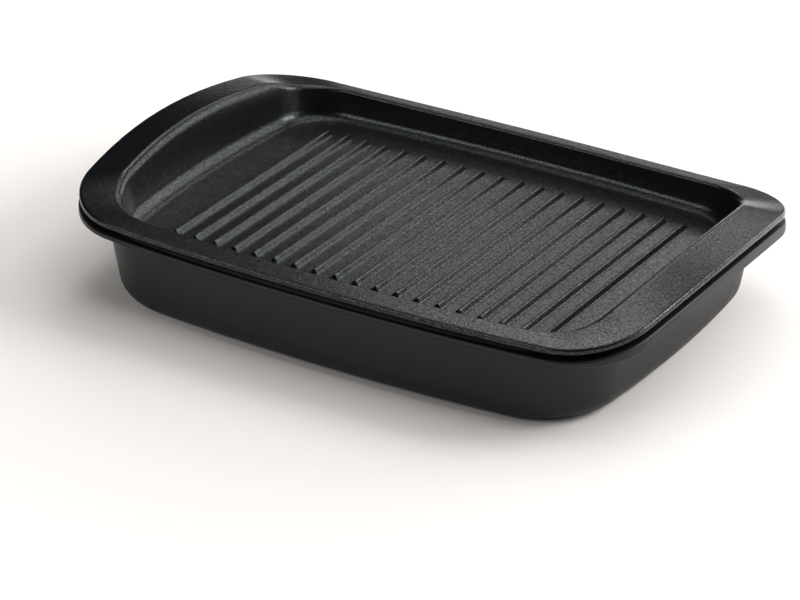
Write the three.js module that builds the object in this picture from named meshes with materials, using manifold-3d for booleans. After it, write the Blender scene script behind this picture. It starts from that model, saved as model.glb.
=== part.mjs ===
// A cast roasting pan with a ribbed griddle plate that lies on it as its lid.
// Sizes are in millimetres, +Z is up, +X runs along the length, and the origin is the middle of the
// pan's flat foot. Each casting is one skin of closed rings: every ring is a bowed rectangle with round
// corners, and the rings run from the middle underneath, out round the rim and back in over the top.
import * as THREE from "three";
import { mergeVertices } from "three/addons/utils/BufferGeometryUtils.js";
import Module from "manifold-3d";

const wasm = await Module();
wasm.setup();

// Outline of the rim
const plateLength = 385.3;
const plateWidth = 250;
const sideBowRadius = 2400;
const endBowRadius = 579;
const rimCornerRadius = 48;

// Height of the plate's edge over the table halfway along a side, and its climb to the grips at the ends
const rimHeight = 54.2;
const endRise = 15.6;
const riseExponent = 3.06;
const cornerFallShare = 0.84;

// Griddle plate
const sideFlange = 11.1;
const endFlange = 22.3;
const crownHeight = 2.3;
const crownCornerRadius = 43;
const crownSideRound = 2.2;
const crownEndRound = 5.5;
const plateWall = 3.2;
const plateEdge = 4;
const plateEdgeRound = 1.5;
const flangeRootFillet = 1.2;
const wellDepth = 15.7;
const wellSideRun = 10.2;
const wellEndRun = 19.3;
const wellSideFillet = 7;
const wellEndFillet = 9.8;
const floorEndBowRadius = 740;
const floorCornerRadius = 28;

// Ribs cast on the floor of the well
const ribCount = 19;
const ribPitch = 13.7;
const ribLength = 168.8;
const ribWidth = 7;
const ribTopWidth = 0.2;
const ribHeight = 3.2;
const ribFootFillet = 1.5;
const ribTopRound = 1.1;
const ribEndRun = 1.8;
const ribSink = 1.2;

// Fit of the plate on the pan: it rests on a raised seat, and the rims stand apart all round
const rimProud = 0.6;
const rimGap = 3.4;
const seatGap = 0.3;
const seatWidth = 1.7;
const seatShoulder = 0.9;
const seatEase = 0.5;

// Roasting pan
const panWall = 3.2;
const panBase = 4.5;
const panSideEdge = 3;
const panEndEdge = 6.8;
const panEdgeRound = 1.2;
const panRimFillet = 1.2;
const mouthRound = 1;
const mouthEndRoom = 2.7;
const mouthSideRoom = 6.4;
const mouthCornerRadius = 47;
const bodySideBowRadius = 1760;
const bodyEndBowRadius = 762;
const bodyEndOut = 1.4;
const bodySideOut = 3.4;
const footEndRun = 20.6;
const footSideRun = 13.5;
const footRound = 13.7;
const footCornerRadius = 41.3;

// Steps along each quarter of an outline and round each bend of a section
const sideSteps = 6;
const cornerSteps = 11;
const endSteps = 6;
const bendSteps = 5;
const roundSteps = 3;

// Finishes: a grained non-stick coat on the plate and a plain matte coat on the pan
const plateCoat = new THREE.MeshStandardMaterial({ color: 0x25282b, roughness: 0.5, metalness: 0.1 });
const panCoat = new THREE.MeshStandardMaterial({ color: 0x2f2f2f, roughness: 0.62, metalness: 0.1 });

// Outlines in plan

function outline(halfLength, halfWidth, sideRadius, endRadius, cornerRadius) {
  return { halfLength, halfWidth, sideRadius, endRadius, cornerRadius };
}

// The outline moved inwards by a distance, all round.
function inset(shape, distance) {
  return outline(
    shape.halfLength - distance,
    shape.halfWidth - distance,
    shape.sideRadius - distance,
    shape.endRadius - distance,
    shape.cornerRadius - distance,
  );
}

// Points on an arc, without its last one.
function arc(centre, radius, from, to, steps) {
  return Array.from({ length: steps }, (_, i) => {
    const angle = from + ((to - from) * i) / steps;
    return new THREE.Vector2(Math.cos(angle), Math.sin(angle)).multiplyScalar(radius).add(centre);
  });
}

// One quarter of an outline, from the middle of the right end to the middle of the far side. The corner's
// circle touches the arc of the end and the arc of the side from inside.
function quarter({ halfLength, halfWidth, sideRadius, endRadius, cornerRadius }) {
  const sideCentre = new THREE.Vector2(0, halfWidth - sideRadius);
  const endCentre = new THREE.Vector2(halfLength - endRadius, 0);
  const toSide = sideRadius - cornerRadius;
  const toEnd = endRadius - cornerRadius;
  const between = endCentre.clone().sub(sideCentre);
  const along = (toSide ** 2 - toEnd ** 2 + between.lengthSq()) / (2 * between.length());
  const across = Math.sqrt(toSide ** 2 - along ** 2);
  between.normalize();
  const corner = new THREE.Vector2(between.y, -between.x)
    .multiplyScalar(across)
    .addScaledVector(between, along)
    .add(sideCentre);
  const endAngle = corner.clone().sub(endCentre).angle();
  const sideAngle = corner.clone().sub(sideCentre).angle();
  return [
    ...arc(endCentre, endRadius, 0, endAngle, endSteps),
    ...arc(corner, cornerRadius, endAngle, sideAngle, cornerSteps),
    ...arc(sideCentre, sideRadius, sideAngle, Math.PI / 2, sideSteps),
    new THREE.Vector2(0, halfWidth),
  ];
}

// The whole outline, anticlockwise seen from above, by mirroring its quarter.
function loop(shape) {
  const right = quarter(shape);
  const last = right.length - 1;
  const ahead = right.slice(0, last);
  const back = right.slice(1).reverse();
  const turned = (points, x, y) => points.map((p) => new THREE.Vector2(p.x * x, p.y * y));
  return [...ahead, ...turned(back, -1, 1), ...turned(ahead, -1, -1), ...turned(back, 1, -1)];
}

// The outline lifted to a height, which is a number or a function of the point's place and index.
function ring(shape, height) {
  return loop(shape).map((p, k) => {
    const z = typeof height === "function" ? height(p, k) : height;
    return new THREE.Vector3(p.x, p.y, z);
  });
}

// The place on a closed run of points that lies nearest to a point.
function nearest(points, p) {
  const places = points.map((from, k) => {
    const along = points[(k + 1) % points.length].clone().sub(from);
    const share = THREE.MathUtils.clamp(p.clone().sub(from).dot(along) / along.lengthSq(), 0, 1);
    return from.clone().addScaledVector(along, share);
  });
  return places.reduce((best, place) => (place.distanceTo(p) < best.distanceTo(p) ? place : best));
}

// Sections of the walls

// A wall between a flat floor and a flange, as points of distance out and height up from the floor's edge:
// a fillet at its foot, a straight face and a rounding at its top. The face touches both circles.
function wallSection(run, height, footRadius, topRadius) {
  const foot = Math.min(footRadius, run - topRadius);
  const straight = Math.hypot(run, height - foot - topRadius);
  const slope = Math.atan2(height - foot - topRadius, run) + Math.asin((foot + topRadius) / straight);
  const turns = (steps) => Array.from({ length: steps + 1 }, (_, i) => (slope * i) / steps);
  const lower = turns(bendSteps).map((a) => [foot * Math.sin(a), foot * (1 - Math.cos(a))]);
  const upper = turns(roundSteps)
    .reverse()
    .map((a) => [run - topRadius * Math.sin(a), height - topRadius * (1 - Math.cos(a))]);
  return { points: [...lower, ...upper], slope, foot };
}

// A size at one point of a ring: the same all round, or one of a list.
const sizeAt = (size, k) => (Array.isArray(size) ? size[k] : size);

// The rings of a wall that climbs from the ring of a floor's edge to a higher ring.
function wallRings(low, high, footRadius, topRadius) {
  const sections = low.map((p, k) => {
    const run = Math.hypot(high[k].x - p.x, high[k].y - p.y);
    const section = wallSection(run, high[k].z - p.z, sizeAt(footRadius, k), sizeAt(topRadius, k));
    return { run, points: section.points };
  });
  return sections[0].points.map((_, j) =>
    low.map((p, k) => {
      const [out, up] = sections[k].points[j];
      const share = out / sections[k].run;
      return new THREE.Vector3(p.x + (high[k].x - p.x) * share, p.y + (high[k].y - p.y) * share, p.z + up);
    }),
  );
}

// The rings round the edge of a rim, from its underside to its top, with both its corners rounded.
function edgeRings(shape, bottom, top, round) {
  const turns = Array.from({ length: roundSteps + 1 }, (_, i) => (Math.PI / 2) * (i / roundSteps));
  const rings = (height, side, angles) =>
    angles.map((a) =>
      ring(inset(shape, round * (1 - Math.sin(a))), (p, k) => height(p, k) + side * round * (1 - Math.cos(a))),
    );
  return [...rings(bottom, 1, turns), ...rings(top, -1, turns.toReversed())];
}

// Skin and solids

// A closed body from its rings: each is joined to the next, and the first and last are closed flat.
function skin(rings) {
  const count = rings[0].length;
  const positions = rings.flat().flatMap((p) => [p.x, p.y, p.z]);
  const index = [];
  rings.slice(1).forEach((_, j) => {
    for (let k = 0; k < count; k += 1) {
      const next = (k + 1) % count;
      const [a, b] = [j * count + k, j * count + next];
      index.push(a, b, b + count, a, b + count, a + count);
    }
  });
  const lastStart = (rings.length - 1) * count;
  const bottomCentre = positions.length / 3;
  const topCentre = bottomCentre + 1;
  positions.push(0, 0, rings[0][0].z, 0, 0, rings.at(-1)[0].z);
  for (let k = 0; k < count; k += 1) {
    const next = (k + 1) % count;
    index.push(bottomCentre, next, k, topCentre, lastStart + k, lastStart + next);
  }
  const geometry = new THREE.BufferGeometry();
  geometry.setAttribute("position", new THREE.Float32BufferAttribute(positions, 3));
  geometry.setIndex(index);
  return geometry;
}

// A stack of rectangles as a closed body, each given as its half sizes and height.
function stack(levels) {
  const shape = levels.map(({ x, y, z }) => [
    new THREE.Vector3(x, -y, z),
    new THREE.Vector3(x, y, z),
    new THREE.Vector3(-x, y, z),
    new THREE.Vector3(-x, -y, z),
  ]);
  return skin(shape);
}

function solid(geometry) {
  const bare = geometry.clone();
  bare.deleteAttribute("normal");
  bare.deleteAttribute("uv");
  const merged = mergeVertices(bare);
  return new wasm.Manifold(
    new wasm.Mesh({
      numProp: 3,
      vertProperties: merged.getAttribute("position").array,
      triVerts: new Uint32Array(merged.getIndex().array),
    }),
  );
}

function geometryOf(manifold) {
  const { vertProperties, triVerts, numProp } = manifold.getMesh();
  const geometry = new THREE.BufferGeometry();
  geometry.setAttribute("position", new THREE.InterleavedBufferAttribute(
    new THREE.InterleavedBuffer(vertProperties, numProp), 3, 0));
  geometry.setIndex(new THREE.BufferAttribute(triVerts, 1));
  return geometry;
}

function named(name, geometry, material) {
  const flat = geometry.toNonIndexed();
  flat.computeVertexNormals();
  const mesh = new THREE.Mesh(flat, material);
  mesh.name = name;
  return mesh;
}

// The rim that both castings follow

const rim = outline(plateLength / 2, plateWidth / 2, sideBowRadius, endBowRadius, rimCornerRadius);
const crown = outline(
  rim.halfLength - endFlange,
  rim.halfWidth - sideFlange,
  sideBowRadius,
  endBowRadius,
  crownCornerRadius,
);
const rimPoints = loop(rim);
const crownPoints = loop(crown);

// Climb of the rim at a place on it: level along the sides and highest at the middle of each end.
function rise(place) {
  const climb = endRise * Math.abs(place.x / rim.halfLength) ** riseExponent;
  return climb * (1 - cornerFallShare * (place.y / rim.halfWidth) ** 2);
}

// How far the rim faces along X at each of its points: nought on the sides and one on the ends.
const endShare = rimPoints.map((_, k) => {
  const before = rimPoints.at(k - 1);
  const after = rimPoints[(k + 1) % rimPoints.length];
  return after.clone().sub(before).normalize().y ** 2;
});

// A size at each point of a ring, which changes from the sides of the rim to its ends.
function sideToEnd(side, end) {
  return endShare.map((share) => THREE.MathUtils.lerp(side, end, share));
}

// Height of the flange's top over a point: it falls from the crown round the well to the rim's edge, and
// each part of it climbs with the stretch of rim that lies nearest.
function flangeTop(p) {
  const place = nearest(rimPoints, p);
  const flange = nearest(crownPoints, place).distanceTo(place);
  const outside = p.length() > place.length();
  const share = outside ? 0 : Math.min(place.distanceTo(p) / flange, 1);
  return rimHeight + rise(place) + crownHeight * share;
}

const flangeUnderside = (p) => flangeTop(p) - plateEdge;

// The pan's mouth, and the raised seat round it that the plate's flange rests on
const mouth = outline(
  crown.halfLength + mouthEndRoom,
  crown.halfWidth + mouthSideRoom,
  bodySideBowRadius,
  bodyEndBowRadius,
  mouthCornerRadius,
);
const seatOuter = inset(mouth, -seatWidth);

// Griddle plate

const wellFillet = sideToEnd(wellSideFillet, wellEndFillet);
const crownRound = sideToEnd(crownSideRound, crownEndRound);
const floorHeight = rimHeight - wellDepth;
const wellFloor = outline(
  crown.halfLength - wellEndRun,
  crown.halfWidth - wellSideRun,
  sideBowRadius,
  floorEndBowRadius,
  floorCornerRadius,
);

// Where the outer face of the well's wall meets the flange's underside: the wall keeps its thickness, and
// the fillet there touches it.
function flangeRoot(floorRing, crownRing) {
  return floorRing.map((low, k) => {
    const high = crownRing[k];
    const run = Math.hypot(high.x - low.x, high.y - low.y);
    const { slope, foot } = wallSection(run, high.z - low.z, wellFillet[k], crownRound[k]);
    const climb = high.z - plateEdge - flangeRootFillet - low.z - foot;
    const atFillet = climb / Math.tan(slope) + (foot + plateWall + flangeRootFillet) / Math.sin(slope);
    const share = atFillet / run;
    const p = new THREE.Vector2(low.x + (high.x - low.x) * share, low.y + (high.y - low.y) * share);
    return new THREE.Vector3(p.x, p.y, flangeUnderside(p));
  });
}

function griddlePlate() {
  const floorEdge = ring(wellFloor, floorHeight);
  const crownEdge = ring(crown, flangeTop);
  const underEdge = ring(wellFloor, floorHeight - plateWall);
  const root = flangeRoot(floorEdge, crownEdge);
  const casting = skin([
    ...wallRings(underEdge, root, wellFillet.map((fillet) => fillet + plateWall), flangeRootFillet),
    ring(seatOuter, flangeUnderside),
    ...edgeRings(rim, flangeUnderside, flangeTop, plateEdgeRound),
    ...wallRings(floorEdge, crownEdge, wellFillet, crownRound).reverse(),
  ]);
  const ribRun = (ribWidth - ribTopWidth) / 2;
  const levels = wallSection(ribRun, ribHeight, ribFootFillet, ribTopRound).points.map(([out, up]) => ({
    x: ribWidth / 2 - out,
    y: ribLength / 2 - (out * ribEndRun) / ribRun,
    z: floorHeight + up,
  }));
  const rib = stack([{ ...levels[0], z: floorHeight - ribSink }, ...levels]);
  const ribs = Array.from({ length: ribCount }, (_, i) => {
    const x = (i - (ribCount - 1) / 2) * ribPitch;
    return solid(rib.clone().translate(x, 0, 0));
  });
  return geometryOf(ribs.reduce((body, each) => body.add(each), solid(casting)));
}

// Roasting pan

const panRim = inset(rim, -rimProud);
const bodyTop = outline(
  mouth.halfLength + bodyEndOut,
  mouth.halfWidth + bodySideOut,
  bodySideBowRadius,
  bodyEndBowRadius,
  mouthCornerRadius + bodySideOut,
);
const foot = outline(
  bodyTop.halfLength - footEndRun,
  bodyTop.halfWidth - footSideRun,
  bodySideBowRadius,
  bodyEndBowRadius,
  footCornerRadius,
);

function roastingPan() {
  const panEdge = sideToEnd(panSideEdge, panEndEdge);
  const rimTop = (p) => flangeUnderside(p) - rimGap;
  const rimBottom = (p, k) => rimTop(p) - panEdge[k];
  const seatTop = (p) => flangeUnderside(p) - seatGap;
  const mouthEdge = (p) => seatTop(p) - seatEase;
  const seatFoot = inset(mouth, -seatWidth - seatShoulder);
  return skin([
    ...wallRings(ring(foot, 0), ring(bodyTop, rimBottom), footRound, panRimFillet),
    ...edgeRings(panRim, rimBottom, rimTop, panEdgeRound),
    ring(seatFoot, rimTop),
    ring(seatOuter, seatTop),
    ...wallRings(ring(foot, panBase), ring(mouth, mouthEdge), footRound - panWall, mouthRound).reverse(),
  ]);
}

const part = new THREE.Group();
part.add(named("griddle_plate", griddlePlate(), plateCoat));
part.add(named("roasting_pan", roastingPan(), panCoat));

export default part;
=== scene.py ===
"""A cast roasting pan with a ribbed griddle plate lying on it as its lid, on a pale studio floor."""
import math
from typing import NamedTuple

import bpy
import numpy as np
from mathutils import Matrix, Vector


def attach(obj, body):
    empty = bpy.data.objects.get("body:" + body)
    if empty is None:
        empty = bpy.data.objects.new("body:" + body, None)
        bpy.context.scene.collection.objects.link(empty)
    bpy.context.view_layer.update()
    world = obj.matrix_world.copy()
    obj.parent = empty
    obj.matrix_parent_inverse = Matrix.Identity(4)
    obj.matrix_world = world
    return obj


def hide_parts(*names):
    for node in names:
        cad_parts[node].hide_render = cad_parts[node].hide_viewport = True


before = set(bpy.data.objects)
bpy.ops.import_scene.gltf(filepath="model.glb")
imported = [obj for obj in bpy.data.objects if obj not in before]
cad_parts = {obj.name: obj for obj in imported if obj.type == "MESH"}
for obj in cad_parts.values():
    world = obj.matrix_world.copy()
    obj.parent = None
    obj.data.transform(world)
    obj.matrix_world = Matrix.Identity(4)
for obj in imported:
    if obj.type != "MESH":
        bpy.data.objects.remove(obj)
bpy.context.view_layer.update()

# Roasting pan
# A deep pan, die-cast in aluminium with walls of about 3 mm, under a smooth matte dark grey coat. Its
# rim is narrow and level along the sides, climbs and widens into a grip at each end, and carries a low
# raised seat for the plate.

MILLIMETRE = 0.001


class Outline(NamedTuple):
    """A bowed rectangle with round corners, in millimetres: half sizes and the radii of its arcs."""

    half_length: float
    half_width: float
    side_bow: float
    end_bow: float
    corner: float

    def inset(self, distance):
        """The outline a distance further in all round."""
        return Outline(*(size - distance for size in self))


def arc_centres(shape):
    """Centres of a quarter's side, end and corner arcs. The first two lie on the axes, and the corner's
    circle touches both arcs from inside, so its centre is where two circles round theirs cross."""
    side = np.array([0, shape.half_width - shape.side_bow])
    end = np.array([shape.half_length - shape.end_bow, 0])
    to_side = shape.side_bow - shape.corner
    to_end = shape.end_bow - shape.corner
    between = end - side
    span = np.hypot(*between)
    along = (to_side**2 - to_end**2 + span**2) / (2 * span)
    across = np.sqrt(to_side**2 - along**2)
    corner = side + (along * between + across * np.array([between[1], -between[0]])) / span
    return side, end, corner


def corner_angles(shape):
    """The directions from a corner's centre at which its arc meets the end's arc and the side's."""
    side, end, corner = arc_centres(shape)
    return math.atan2(*(corner - end)[::-1]), math.atan2(*(corner - side)[::-1])


END_STEPS = 6
CORNER_STEPS = 28
SIDE_STEPS = 24
EVEN_SIDES = np.linspace(0, 1, SIDE_STEPS + 1)


def loop(shape, sides=EVEN_SIDES):
    """Points of the outline, anticlockwise from the middle of the right end: a quarter made of three
    arcs, mirrored. sides gives how far along the side's arc each of its points lies, from 0 to 1."""
    side, end, corner = arc_centres(shape)
    end_angle, side_angle = corner_angles(shape)
    ends = np.arange(END_STEPS) / END_STEPS
    corners = np.arange(CORNER_STEPS) / CORNER_STEPS

    def arc(centre, radius, angles):
        return centre + radius * np.column_stack([np.cos(angles), np.sin(angles)])

    quarter = np.concatenate([
        arc(end, shape.end_bow, end_angle * ends),
        arc(corner, shape.corner, end_angle + (side_angle - end_angle) * corners),
        arc(side, shape.side_bow, side_angle + (math.pi / 2 - side_angle) * sides),
    ])
    ahead, back = quarter[:-1], quarter[:0:-1]
    return np.concatenate([ahead, back * (-1, 1), ahead * (-1, -1), back * (1, -1)])


def nearest(shape, points):
    """The place on the outline straight out from each point: away from the centre of the arc that the
    point faces, by that arc's radius."""
    side, end, corner = arc_centres(shape)
    end_angle, side_angle = corner_angles(shape)
    quarter = abs(points)
    faces = np.arctan2(*(quarter - corner).T[::-1])
    on_end, on_side = faces < end_angle, faces > side_angle
    centre = np.where(on_end[:, None], end, np.where(on_side[:, None], side, corner))
    radius = np.where(on_end, shape.end_bow, np.where(on_side, shape.side_bow, shape.corner))
    away = quarter - centre
    place = centre + away * (radius / np.hypot(*away.T))[:, None]
    return np.where(points < 0, -place, place)


def ring(shape, height, sides=EVEN_SIDES):
    """The outline lifted to a height, which is a number or a function of the points in plan."""
    points = loop(shape, sides)
    heights = height(points) if callable(height) else np.full(len(points), height)
    return np.column_stack([points, heights])


# Points round a wall's fillet and its rounding, and two on the straight face, near enough to its ends
# to keep it straight
WALL_STEPS = (9, 7)
FACE_SHARES = np.array([0.04, 0.96])


def wall_slope(run, height, foot, top):
    """The slope of a wall's straight face, which touches the fillet at its foot and the rounding at its
    top, and the radius of the fillet, which the wall limits."""
    foot = np.minimum(foot, run - top)
    rest = height - foot - top
    return np.arctan2(rest, run) + np.arcsin((foot + top) / np.hypot(run, rest)), foot


def wall_section(run, height, foot, top, steps=WALL_STEPS):
    """Distance out and height up of points up a wall: a fillet at its foot, a straight face and a
    rounding at its top. The sizes may be arrays, with one value for each section."""
    slope, foot = wall_slope(run, height, foot, top)
    lower, upper = (np.multiply.outer(np.linspace(0, 1, n + 1), slope) for n in steps)
    upper = upper[::-1]
    below = np.stack([foot * np.sin(lower), foot * (1 - np.cos(lower))])
    above = np.stack([run - top * np.sin(upper), height - top * (1 - np.cos(upper))])
    shares = FACE_SHARES.reshape(-1, *[1] * np.ndim(slope))
    face = below[:, -1:] + (above[:, :1] - below[:, -1:]) * shares
    return np.concatenate([below, face, above], axis=1)


def wall_rings(low, high, foot, top):
    """Rings up a wall from a floor's edge to a higher ring: each place's section, laid along the line
    between the two rings in plan."""
    along = (high - low)[:, :2]
    run = np.hypot(*along.T)
    out, up = wall_section(run, high[:, 2] - low[:, 2], foot, top)
    plan = low[:, :2] + along * (out / run)[..., None]
    return list(np.dstack([plan, low[:, 2] + up]))


ROUND_STEPS = 7


def edge_rings(shape, bottom, top, radius, sides=EVEN_SIDES):
    """Rings round the edge of a rim from its underside to its top: two quarter circles, with the
    upright edge between them."""
    turns = np.linspace(0, math.pi / 2, ROUND_STEPS + 1)

    def rings(height, way, angles):
        return [
            ring(
                shape.inset(radius * (1 - math.sin(a))),
                lambda p, a=a: height(p) + way * radius * (1 - math.cos(a)),
                sides,
            )
            for a in angles
        ]

    return rings(bottom, 1, turns) + rings(top, -1, turns[::-1])


PLATE_LENGTH = 385.3
PLATE_WIDTH = 250
SIDE_BOW = 2400
END_BOW = 579
rim = Outline(PLATE_LENGTH / 2, PLATE_WIDTH / 2, SIDE_BOW, END_BOW, corner=48)

# Height of the plate's edge halfway along a side, and its climb to the grips
RIM_HEIGHT = 54.2
END_RISE = 15.6
RISE_EXPONENT = 3.06
CORNER_FALL_SHARE = 0.84
SIDE_FLANGE = 11.1
END_FLANGE = 22.3
CROWN_HEIGHT = 2.3
crown = Outline(
    rim.half_length - END_FLANGE, rim.half_width - SIDE_FLANGE, SIDE_BOW, END_BOW, corner=43
)


def rise(places):
    """Climb of the rim at places on it: level along the sides, highest at the middle of each end."""
    climb = END_RISE * abs(places[:, 0] / rim.half_length) ** RISE_EXPONENT
    return climb * (1 - CORNER_FALL_SHARE * (places[:, 1] / rim.half_width) ** 2)


def flange_top(points):
    """Height of the plate's flange over points: it rises evenly from the rim's edge to the crown round
    the well, and climbs with the stretch of rim that lies nearest."""
    places = nearest(rim, points)
    flange = np.hypot(*(nearest(crown, places) - places).T)
    inside = np.hypot(*points.T) < np.hypot(*places.T)
    share = np.where(inside, np.minimum(np.hypot(*(places - points).T) / flange, 1), 0)
    return RIM_HEIGHT + rise(places) + CROWN_HEIGHT * share


# The plate's flange is PLATE_EDGE thick. It lies SEAT_GAP over the pan's seat and RIM_GAP over its rim.
PLATE_EDGE = 4
RIM_GAP = 3.4
SEAT_GAP = 0.3
SEAT_WIDTH = 1.7
SEAT_SHOULDER = 0.9
SEAT_EASE = 0.5
PAN_WALL = 3.2
PAN_BASE = 4.5
# Thickness of the pan's rim on the sides and at the ends
PAN_EDGE = (3, 6.8)
PAN_EDGE_ROUND = 1.2
PAN_RIM_FILLET = 1.2
# How far the pan's rim stands out past the plate's
RIM_PROUD = 0.6
MOUTH_ROUND = 1
MOUTH_END_ROOM = 2.7
MOUTH_SIDE_ROOM = 6.4
BODY_END_OUT = 1.4
BODY_SIDE_OUT = 3.4
FOOT_END_RUN = 20.6
FOOT_SIDE_RUN = 13.5
FOOT_ROUND = 13.7
BODY_SIDE_BOW = 1760
BODY_END_BOW = 762

pan_rim = rim.inset(-RIM_PROUD)
mouth = Outline(
    crown.half_length + MOUTH_END_ROOM,
    crown.half_width + MOUTH_SIDE_ROOM,
    BODY_SIDE_BOW,
    BODY_END_BOW,
    corner=47,
)
body_top = Outline(
    mouth.half_length + BODY_END_OUT,
    mouth.half_width + BODY_SIDE_OUT,
    BODY_SIDE_BOW,
    BODY_END_BOW,
    mouth.corner + BODY_SIDE_OUT,
)
foot = Outline(
    body_top.half_length - FOOT_END_RUN,
    body_top.half_width - FOOT_SIDE_RUN,
    BODY_SIDE_BOW,
    BODY_END_BOW,
    corner=41.3,
)
seat_outer = mouth.inset(-SEAT_WIDTH)
seat_foot = seat_outer.inset(-SEAT_SHOULDER)


def flange_underside(points):
    return flange_top(points) - PLATE_EDGE


def pan_rim_top(points):
    return flange_underside(points) - RIM_GAP


def side_to_end(points, sizes):
    """A size that changes round the rim, from its value on the sides to its value on the ends, with the
    square of how far the rim faces along the length."""
    side, end, corner = arc_centres(rim)
    end_angle, side_angle = corner_angles(rim)
    quarter = abs(points)
    faces = np.clip(np.arctan2(*(quarter - corner).T[::-1]), end_angle, side_angle)
    return sizes[0] + (sizes[1] - sizes[0]) * np.cos(faces) ** 2


def pan_rim_bottom(points):
    return pan_rim_top(points) - side_to_end(points, PAN_EDGE)


def seat_top(points):
    return flange_underside(points) - SEAT_GAP


def skin(rings):
    """Vertices and quads of a tube of rings: each ring's points join those of the next."""
    count, size = len(rings), len(rings[0])
    first = np.arange(count - 1)[:, None] * size + np.arange(size)
    right = np.arange(count - 1)[:, None] * size + (np.arange(size) + 1) % size
    quads = np.stack([first, right, right + size, first + size], axis=-1)
    return np.concatenate(rings), quads.reshape(-1, 4)


def fan(edge, middle):
    """Triangles that close a loop of vertices about a vertex in its middle."""
    return np.stack([edge, np.roll(edge, -1), np.full(len(edge), middle)], axis=-1)


def add_piece(name, vertices, faces, material):
    """A smooth mesh object from vertices in millimetres and lists of faces."""
    mesh = bpy.data.meshes.new(name)
    mesh.from_pydata((vertices * MILLIMETRE).tolist(), [], sum((f.tolist() for f in faces), []))
    mesh.shade_smooth()
    mesh.materials.append(material)
    piece = bpy.data.objects.new(name, mesh)
    bpy.context.scene.collection.objects.link(piece)
    return piece


class Value:
    """A socket's output in Python arithmetic: + and * on it add Math nodes to its tree."""

    def __init__(self, shader, socket):
        self.shader = shader
        self.socket = socket

    def maths(self, operation, *values):
        return self.shader.node("ShaderNodeMath", {"operation": operation}, list(values))

    def __add__(self, other):
        return self.maths("ADD", self, other)

    def __mul__(self, other):
        return self.maths("MULTIPLY", self, other)


class Shader:
    """The node tree of a material or of the world. node() adds a node: its settings come first, then
    the values or links of its sockets, by place or by name."""

    def __init__(self, owner):
        owner.use_nodes = True
        self.owner = owner
        self.tree = owner.node_tree
        self.tree.nodes.clear()

    def node(self, kind, settings=None, sockets=(), output=0):
        node = self.tree.nodes.new(kind)
        for name, setting in (settings or {}).items():
            setattr(node, name, setting)
        pairs = sockets.items() if isinstance(sockets, dict) else enumerate(sockets)
        for place, value in pairs:
            if isinstance(value, Value):
                self.tree.links.new(value.socket, node.inputs[place])
            else:
                node.inputs[place].default_value = value
        return Value(self, node.outputs[output]) if node.outputs else None

    def noise(self, scale, detail=2.0, roughness=0.5):
        """Noise over the piece, from 0 to 1, with this many lumps to a metre."""
        place = self.node("ShaderNodeTexCoord", output="Object")
        sockets = {"Vector": place, "Scale": scale, "Detail": detail, "Roughness": roughness}
        return self.node("ShaderNodeTexNoise", {}, sockets)

    def spread(self, value, low, high, to_low=0.0, to_high=1.0):
        """A value's range from low to high drawn out to another range, and held at its ends."""
        return self.node("ShaderNodeMapRange", {"clamp": True}, [value, low, high, to_low, to_high])

    def tint(self, share, dark, light):
        """A colour between two, by a share from 0 to 1. The Mix node's sockets for colours are given by
        place, because those for numbers and vectors have the same names."""
        sockets = {0: share, 6: (*dark, 1), 7: (*light, 1)}
        return self.node("ShaderNodeMix", {"data_type": "RGBA"}, sockets, output=2)

    def bump(self, height, distance, strength=1.0):
        return self.node(
            "ShaderNodeBump", {}, {"Strength": strength, "Distance": distance, "Height": height}
        )

    def surface(self, **sockets):
        """Ends the tree in a Principled surface with these sockets, named with _ for a space."""
        named = {name.replace("_", " "): value for name, value in sockets.items()}
        coat = self.node("ShaderNodeBsdfPrincipled", {}, named)
        self.node("ShaderNodeOutputMaterial", {}, {"Surface": coat})
        return self.owner


# The part of a noise's range over which it goes from one look to the other
CLOUD_RANGE = (0.3, 0.7)
PAN_DARK = (0.0038, 0.0041, 0.0043)
PAN_LIGHT = (0.006, 0.0063, 0.0065)
PAN_GLOSS = 0.34
PAN_ROUGHNESS = (0.4, 0.45)
PAN_GRAIN_DEPTH = 0.04


def pan_coat():
    """Smooth matte coat: faint clouding in colour and gloss, and a grain too fine to feel."""
    shader = Shader(bpy.data.materials.new("pan_coat"))
    cloud = shader.noise(scale=40, detail=3)
    grain = shader.noise(scale=1800, detail=2)
    return shader.surface(
        Base_Color=shader.tint(shader.spread(cloud, *CLOUD_RANGE), PAN_DARK, PAN_LIGHT),
        Roughness=shader.spread(cloud, *CLOUD_RANGE, *PAN_ROUGHNESS),
        Specular_IOR_Level=PAN_GLOSS,
        Normal=shader.bump(grain, distance=PAN_GRAIN_DEPTH * MILLIMETRE, strength=0.35),
    )


def roasting_pan():
    """The pan's skin: up the outside from the foot, round the rim, over the seat and down the inside. A
    ring just inside each end of it keeps the foot and the base flat up to their fillets."""
    rings = [
        *wall_rings(ring(foot, 0), ring(body_top, pan_rim_bottom), FOOT_ROUND, PAN_RIM_FILLET),
        *edge_rings(pan_rim, pan_rim_bottom, pan_rim_top, PAN_EDGE_ROUND),
        ring(seat_foot.inset(-SEAT_SHOULDER), pan_rim_top),
        ring(seat_foot, pan_rim_top),
        ring(seat_outer, seat_top),
        *wall_rings(
            ring(foot, PAN_BASE),
            ring(mouth, lambda p: seat_top(p) - SEAT_EASE),
            FOOT_ROUND - PAN_WALL,
            MOUTH_ROUND,
        )[::-1],
    ]
    hold = PAN_EDGE_ROUND
    rings = [ring(foot.inset(hold), 0), *rings, ring(foot.inset(hold), PAN_BASE)]
    vertices, quads = skin(rings)
    size, total = len(rings[0]), len(vertices)
    vertices = np.concatenate([vertices, [[0, 0, 0], [0, 0, PAN_BASE]]])
    first, last = np.arange(size), np.arange(total - size, total)
    faces = [quads, fan(first[::-1], total), fan(last, total + 1)]
    return add_piece("roasting_pan_casting", vertices, faces, pan_coat())


pan = roasting_pan()
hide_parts("roasting_pan")
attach(pan, "pan")

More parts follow.
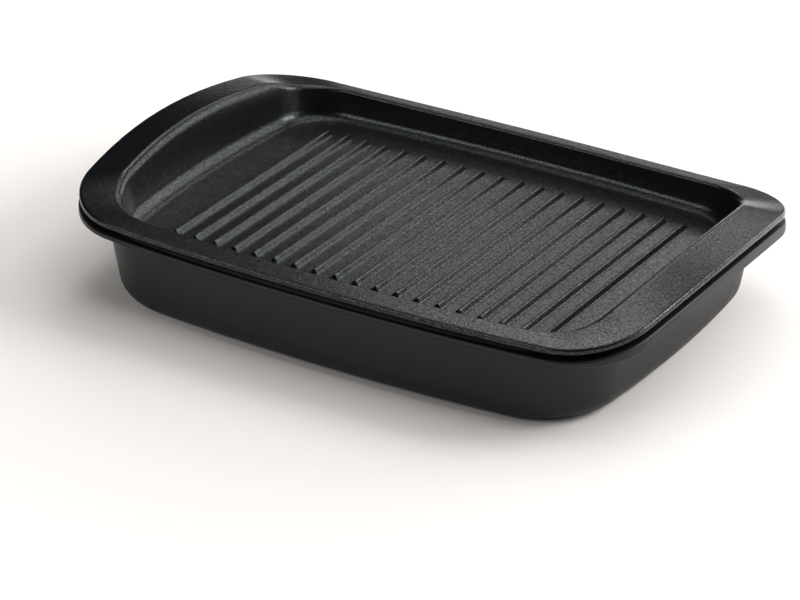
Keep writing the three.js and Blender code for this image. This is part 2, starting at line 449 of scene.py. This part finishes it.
# Griddle plate
# A shallow ribbed plate, die-cast in aluminium under a near-black non-stick coat with a fine grain. Its
# flange falls from a crown round the well to the rim's edge, and lies on the pan's seat. The ribs are
# part of the casting and run across the floor of the well.

PLATE_WALL = 3.2
PLATE_EDGE_ROUND = 1.5
FLANGE_ROOT_FILLET = 1.2
WELL_DEPTH = 15.7
WELL_END_RUN = 19.3
WELL_SIDE_RUN = 10.2
# Radii at the well's foot and crown, on the sides and at the ends
WELL_FILLET = (7, 9.8)
CROWN_ROUND = (2.2, 5.5)
FLOOR_END_BOW = 740
FLOOR_HEIGHT = RIM_HEIGHT - WELL_DEPTH
well_floor = Outline(
    crown.half_length - WELL_END_RUN,
    crown.half_width - WELL_SIDE_RUN,
    SIDE_BOW,
    FLOOR_END_BOW,
    corner=28,
)

RIB_COUNT = 19
RIB_PITCH = 13.7
RIB_LENGTH = 168.8
RIB_WIDTH = 7
RIB_TOP_WIDTH = 0.2
RIB_HEIGHT = 3.2
RIB_FOOT_FILLET = 1.5
RIB_TOP_ROUND = 1.1
RIB_END_RUN = 1.8
RIB_STEPS = (4, 4)
# How far outside a rib's foot a line of the grid keeps the floor flat
RIB_HOLD = 0.3

rib_half_foot = RIB_WIDTH / 2
rib_half_length = RIB_LENGTH / 2
rib_run = (RIB_WIDTH - RIB_TOP_WIDTH) / 2
rib_section = wall_section(rib_run, RIB_HEIGHT, RIB_FOOT_FILLET, RIB_TOP_ROUND, RIB_STEPS)
rib_lines = np.concatenate([[rib_half_foot + RIB_HOLD], rib_half_foot - rib_section[0]])


def rib_heights(x, y):
    """Height of the ribs over the floor: the distance out from the nearest rib's top, carried down the
    rib's section. Along the rib, where its ends are steeper, the distance counts for more."""
    rib = np.clip(np.round(x / RIB_PITCH), -(RIB_COUNT // 2), RIB_COUNT // 2)
    aside = abs(x - rib * RIB_PITCH) - RIB_TOP_WIDTH / 2
    beyond = (abs(y) - rib_half_length + RIB_END_RUN) * rib_run / RIB_END_RUN
    out = np.hypot(np.maximum(aside, 0), np.maximum(beyond, 0))
    return np.interp(rib_run - out, *rib_section)


# Lines of the grid on the floor, for a quarter of it: those of the ribs, then as many to the field's
# corner as half a corner of the outline has steps
FIELD_MARGIN = 4.4
FIELD_END_MARGIN = 4
field_x = RIB_COUNT // 2 * RIB_PITCH + rib_half_foot + FIELD_MARGIN
field_y = rib_half_length + FIELD_END_MARGIN
half_corner = CORNER_STEPS // 2
rib_middles = np.arange(RIB_COUNT // 2 + 1) * RIB_PITCH
across_rib = np.concatenate([-rib_lines, [0], rib_lines, [RIB_PITCH / 2]])
columns = np.add.outer(rib_middles, across_rib).ravel()
columns = np.unique(columns[(columns >= 0) & (columns < field_x)].round(6))
column_x = np.concatenate([columns, np.linspace(columns[-1], field_x, half_corner + 1)[1:]])
rib_ends = np.sort(rib_half_length - (rib_half_foot - rib_lines) * RIB_END_RUN / rib_run)
middle_rows = np.linspace(0, rib_ends[0], END_STEPS + half_corner + 1 - len(rib_ends))
row_y = np.concatenate([middle_rows, rib_ends[1:], [field_y]])
plate_sides = 1 - columns[::-1] / columns[-1]

rim_points = loop(rim, plate_sides)
well_fillet = side_to_end(rim_points, WELL_FILLET)
crown_round = side_to_end(rim_points, CROWN_ROUND)


def flange_root(floor, top):
    """Where the outer face of the well's wall meets the flange's underside: the wall keeps its
    thickness, and the fillet there touches it."""
    along = (top - floor)[:, :2]
    run = np.hypot(*along.T)
    height = top[:, 2] - floor[:, 2]
    slope, fillet = wall_slope(run, height, well_fillet, crown_round)
    climb = height - PLATE_EDGE - FLANGE_ROOT_FILLET - fillet
    skew = (fillet + PLATE_WALL + FLANGE_ROOT_FILLET) / np.sin(slope)
    out = climb / np.tan(slope) + skew
    plan = floor[:, :2] + along * (out / run)[:, None]
    return np.column_stack([plan, flange_underside(plan)])


def rib_field(vertices, edge_start):
    """The grid of the floor inside the outline's last ring: its edge is that ring, and every point
    inside lies at the ribs' height over the floor."""
    x = np.concatenate([-column_x[:0:-1], column_x])
    y = np.concatenate([-row_y[:0:-1], row_y])
    place = np.zeros((len(y), len(x)), int)
    rows, cols = np.indices(place.shape)
    middle = len(y) // 2
    edge = np.concatenate([
        np.stack([rows[middle:-1, -1], cols[middle:-1, -1]], 1),
        np.stack([rows[-1, :0:-1], cols[-1, :0:-1]], 1),
        np.stack([rows[:0:-1, 0], cols[:0:-1, 0]], 1),
        np.stack([rows[0, :-1], cols[0, :-1]], 1),
        np.stack([rows[:middle, -1], cols[:middle, -1]], 1),
    ])
    place[edge[:, 0], edge[:, 1]] = edge_start + np.arange(len(edge))
    inner_x, inner_y = (a.ravel() for a in np.meshgrid(x[1:-1], y[1:-1]))
    place[1:-1, 1:-1] = (len(vertices) + np.arange(inner_x.size)).reshape(len(y) - 2, -1)
    inner = np.column_stack([inner_x, inner_y, FLOOR_HEIGHT + rib_heights(inner_x, inner_y)])
    quads = np.stack([place[:-1, :-1], place[:-1, 1:], place[1:, 1:], place[1:, :-1]], -1)
    plan = np.column_stack([x[edge[:, 1]], y[edge[:, 0]]])
    return inner, quads.reshape(-1, 4), np.column_stack([plan, np.full(len(plan), FLOOR_HEIGHT)])


PLATE_DARK = (0.0029, 0.0036, 0.0039)
PLATE_LIGHT = (0.0053, 0.0064, 0.0069)
PLATE_GLOSS = 0.18
PLATE_GLOSS_TINT = (0.85, 1, 0.97, 1)
PLATE_ROUGHNESS = (0.25, 0.28)
TINT_RANGE = (0.35, 0.68)
SPECK_RANGE = (0.36, 0.66)
SPECK_WEIGHT = (0, 0.84)
SPECK_ROUGHNESS = 0.27
LUMP_DEPTH = 0.1


def plate_coat():
    """Non-stick coat with a grain like fine sandpaper: small lumps, and specks that shine more or less
    than those beside them."""
    shader = Shader(bpy.data.materials.new("plate_coat"))
    grain = shader.noise(scale=950, detail=1, roughness=0.6)
    lumps = shader.noise(scale=620, detail=1)
    cloud = shader.noise(scale=60, detail=3)
    return shader.surface(
        Base_Color=shader.tint(shader.spread(grain, *TINT_RANGE), PLATE_DARK, PLATE_LIGHT),
        Roughness=shader.spread(cloud, *CLOUD_RANGE, *PLATE_ROUGHNESS),
        Specular_IOR_Level=PLATE_GLOSS,
        Specular_Tint=PLATE_GLOSS_TINT,
        Coat_Weight=shader.spread(grain, *SPECK_RANGE, *SPECK_WEIGHT),
        Coat_Roughness=SPECK_ROUGHNESS,
        Normal=shader.bump(lumps, distance=LUMP_DEPTH * MILLIMETRE, strength=0.8),
    )


def griddle_plate():
    """The plate's skin: from the underside of its floor, out under the flange, round the edge, back over
    the crown and down the well to the grid with the ribs. Rings beside the edges keep flats flat."""
    floor = ring(well_floor, FLOOR_HEIGHT, plate_sides)
    top = ring(crown, flange_top, plate_sides)
    under = ring(well_floor, FLOOR_HEIGHT - PLATE_WALL, plate_sides)
    hold = PLATE_EDGE_ROUND / 2
    rings = [
        ring(well_floor.inset(hold), FLOOR_HEIGHT - PLATE_WALL, plate_sides),
        *wall_rings(under, flange_root(floor, top), well_fillet + PLATE_WALL, FLANGE_ROOT_FILLET),
        ring(seat_outer, flange_underside, plate_sides),
        *edge_rings(rim, flange_underside, flange_top, PLATE_EDGE_ROUND, plate_sides),
        ring(rim.inset(PLATE_EDGE_ROUND + hold), flange_top, plate_sides),
        ring(crown.inset(-hold), flange_top, plate_sides),
        *wall_rings(floor, top, well_fillet, crown_round)[::-1],
        ring(well_floor.inset(hold), FLOOR_HEIGHT, plate_sides),
    ]
    size = len(floor)
    vertices = np.concatenate([*rings, np.zeros((size, 3))])
    inner, field_quads, edge = rib_field(vertices, len(rings) * size)
    vertices, quads = skin([*rings, edge])
    vertices = np.concatenate([vertices, inner, [[0, 0, FLOOR_HEIGHT - PLATE_WALL]]])
    faces = [quads, field_quads, fan(np.arange(size)[::-1], len(vertices) - 1)]
    return add_piece("griddle_plate_casting", vertices, faces, plate_coat())


plate = griddle_plate()
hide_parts("griddle_plate")
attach(plate, "plate")

# Floor
# A plain pale sheet that the pan stands on. It is white and very slightly warm, and keeps the soft shadow
# of the pan. Further out a painted glow, brighter with distance from the pan, stands in for light on the
# far floor and runs it out into white.


FLOOR_COLOUR = (0.93, 0.89, 0.857, 1)
FLOOR_HALF = 40
# Distances from the pan's middle, in metres, at which the painted glow on the sheet begins and is full
PAINTED_GLOW_BEGINS = 0.22
PAINTED_GLOW_FULL = 0.95


def seen_as_white(shader):
    """1 for the rays of the camera, of mirrored views and of views through glass, 0 for those that light
    things."""
    camera, glossy, glass = (
        shader.node("ShaderNodeLightPath", output=f"Is {kind} Ray")
        for kind in ("Camera", "Glossy", "Transmission")
    )
    return camera + glossy + glass


def floor_sheet():
    """A square sheet, matte near the pan, with a painted glow that grows towards white further out and
    stands in for light on the far floor. That glow shows only to the camera, in mirrored views and through
    glass, so it lights nothing."""
    shader = Shader(bpy.data.materials.new("floor_sheet"))
    matte = shader.node("ShaderNodeBsdfDiffuse", {}, {"Color": FLOOR_COLOUR})
    place = shader.node("ShaderNodeTexCoord", output="Object")
    away = shader.node("ShaderNodeVectorMath", {"operation": "LENGTH"}, [place], output="Value")
    # Painted light: an emission that brightens the floor with distance from the pan, so the shade near the
    # pan reads darker
    painted_glow = shader.spread(away, PAINTED_GLOW_BEGINS, PAINTED_GLOW_FULL) * seen_as_white(shader)
    white = shader.node("ShaderNodeEmission", {}, {"Strength": painted_glow})
    both = shader.node("ShaderNodeAddShader", {}, [matte, white])
    shader.node("ShaderNodeOutputMaterial", {}, {"Surface": both})
    mesh = bpy.data.meshes.new("floor_sheet")
    corners = [(x * FLOOR_HALF, y * FLOOR_HALF, 0) for x, y in ((-1, -1), (1, -1), (1, 1), (-1, 1))]
    mesh.from_pydata(corners, [], [(0, 1, 2, 3)])
    mesh.materials.append(shader.owner)
    sheet = bpy.data.objects.new("floor_sheet", mesh)
    bpy.context.scene.collection.objects.link(sheet)
    return sheet


floor_sheet()

# Light
# Nine soft boxes: a tall one behind the pan to its right and three small ones behind to its left, which
# draw the bands on the plate's dark coat, a key and a lower one on the right, two overhead and one in
# front to the left. The room is dim, with a white band along the horizon.


def soft_box(name, place, aim, width, height, power):
    """A rectangular area lamp at a place, facing a point, with sizes in metres and power in watts."""
    lamp = bpy.data.lights.new(name, "AREA")
    lamp.shape = "RECTANGLE"
    lamp.size = width
    lamp.size_y = height
    lamp.energy = power
    box = bpy.data.objects.new(name, lamp)
    box.location = place
    box.rotation_euler = (Vector(aim) - Vector(place)).to_track_quat("-Z", "Y").to_euler()
    box.visible_camera = False
    bpy.context.scene.collection.objects.link(box)


PAN_MIDDLE = (0, 0, 0.05)
soft_box("back_light", (0.45, 1.11, 0.65), aim=(0, 0, 0.65), width=0.8, height=1.1, power=7.1)
soft_box("middle_light", (-0.46, 0.93, 0.625), aim=(-0.23, 0, 0.625), width=0.32, height=0.35, power=0.45)
soft_box("low_light", (-0.17, 0.92, 0.57), aim=(-0.085, 0, 0.57), width=0.3, height=0.54, power=0.6)
soft_box("high_light", (-0.418, 0.724, 1.046), aim=PAN_MIDDLE, width=0.44, height=0.42, power=1.75)
soft_box("key_light", (0.862, 0.497, 0.721), aim=PAN_MIDDLE, width=0.5, height=0.5, power=9.1)
soft_box("side_light", (1.11, 0.2, 0.42), aim=PAN_MIDDLE, width=0.7, height=0.5, power=2.6)
soft_box("left_light", (-0.75, 0, 1.35), aim=(-0.75, 0, 0), width=0.5, height=1.5, power=1.7)
soft_box("top_light", (0.1, 0.2, 1.35), aim=(0.1, 0.2, 0), width=1.4, height=1.3, power=9.9)
soft_box("front_light", (-0.7, -1.28, 0.85), aim=PAN_MIDDLE, width=1.2, height=0.6, power=7.3)


HORIZON_BAND = 0.04
ROOM_LEVEL = 0.01


def room():
    """White along the horizon, where the sheet ends, and dim above: a direction's height is the sine of
    its angle over the horizon."""
    shader = Shader(bpy.data.worlds.new("room"))
    way = shader.node("ShaderNodeTexCoord", output="Generated")
    height = shader.node("ShaderNodeSeparateXYZ", {}, [way], output="Z")
    white = shader.spread(height, 0, HORIZON_BAND, 1, 0) * seen_as_white(shader) + ROOM_LEVEL
    wall = shader.node("ShaderNodeBackground", {}, {"Strength": white})
    shader.node("ShaderNodeOutputWorld", {}, {"Surface": wall})
    return shader.owner


bpy.context.scene.world = room()

# Camera
# It stands 2.2 metres away in front of the pan and to the right, and looks down with a long lens. The
# point AIM_HEIGHT over the foot's middle shows at AIM_PIXEL.

AZIMUTH = math.radians(31.534)
ELEVATION = math.radians(27.062)
ROLL = math.radians(-0.203)
FOCAL_PIXELS = 3743.0
PIXELS_PER_MILLIMETRE = 1.7184
AIM_HEIGHT = 52.8
AIM_PIXEL = (430.26, 208.75)
IMAGE_SIZE = (800, 600)
SENSOR_WIDTH = 36

back = Vector((
    math.sin(AZIMUTH) * math.cos(ELEVATION),
    -math.cos(AZIMUTH) * math.cos(ELEVATION),
    math.sin(ELEVATION),
))
right = Vector((math.cos(AZIMUTH), math.sin(AZIMUTH), 0))
up = back.cross(right)
aside = (AIM_PIXEL[0] - IMAGE_SIZE[0] / 2) / PIXELS_PER_MILLIMETRE
below = (AIM_PIXEL[1] - IMAGE_SIZE[1] / 2) / PIXELS_PER_MILLIMETRE
station = (
    Vector((0, 0, AIM_HEIGHT))
    + back * (FOCAL_PIXELS / PIXELS_PER_MILLIMETRE)
    - right * aside
    + up * below
) * MILLIMETRE

lens = bpy.data.cameras.new("camera")
lens.sensor_width = SENSOR_WIDTH
lens.lens = FOCAL_PIXELS * SENSOR_WIDTH / IMAGE_SIZE[0]
lens.clip_start = 0.1
lens.clip_end = 100
camera = bpy.data.objects.new("camera", lens)
level = Matrix((right, up, back)).transposed().to_4x4()
camera.matrix_world = Matrix.Translation(station) @ level @ Matrix.Rotation(-ROLL, 4, "Z")
bpy.context.scene.collection.objects.link(camera)
bpy.context.scene.camera = camera
bpy.context.scene.view_settings.view_transform = "Standard"
